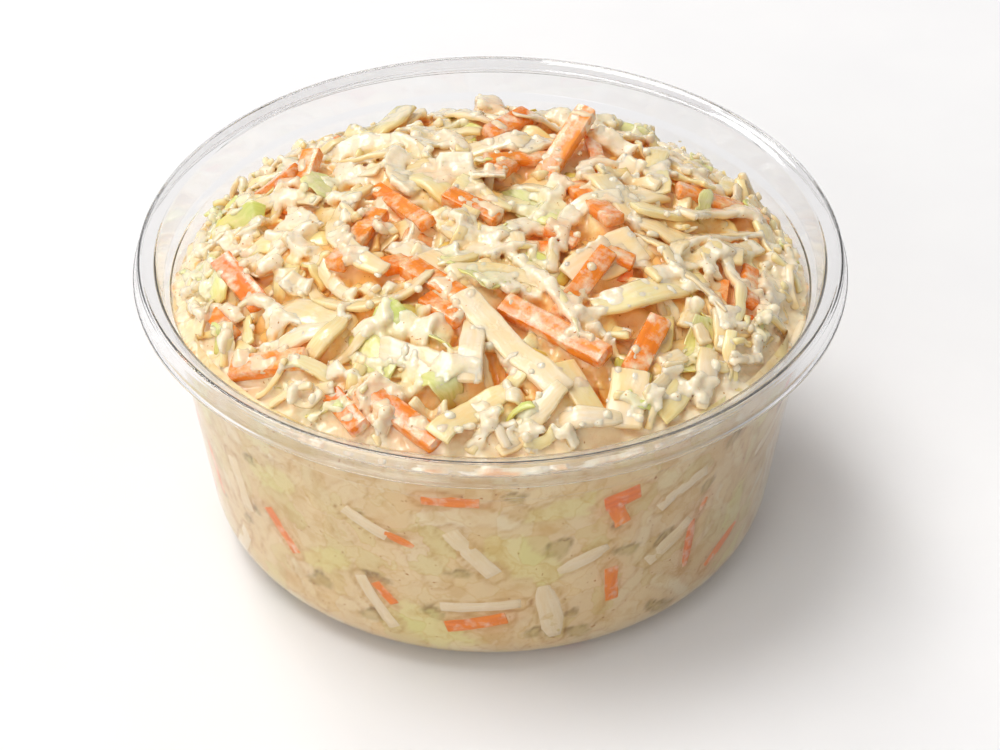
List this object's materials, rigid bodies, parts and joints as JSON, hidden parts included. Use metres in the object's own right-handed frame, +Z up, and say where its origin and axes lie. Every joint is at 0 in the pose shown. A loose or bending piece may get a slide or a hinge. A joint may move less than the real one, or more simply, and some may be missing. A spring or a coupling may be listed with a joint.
{
  "type": "coleslaw in a clear plastic deli cup",
  "caption": "Creamy coleslaw of shredded cabbage and carrot, heaped above the rim of a round clear plastic deli cup with a flared lip.",
  "frame": {"origin": "centre of the cup's underside, on the surface that the cup stands on", "axes": "+Z up along the cup's axis, through the mound's middle; -Y towards the viewer, +X to the viewer's right"},
  "size_m": [0.1186, 0.1186, 0.0612],
  "materials": {
    "clear_plastic": "clear, glossy thermoformed plastic sheet",
    "dressed_salad": "moist, creamy sheen"
  },
  "bodies": {
    "root": {"cup": "clear_plastic", "coleslaw": "dressed_salad"}
  },
  "joints": []
}
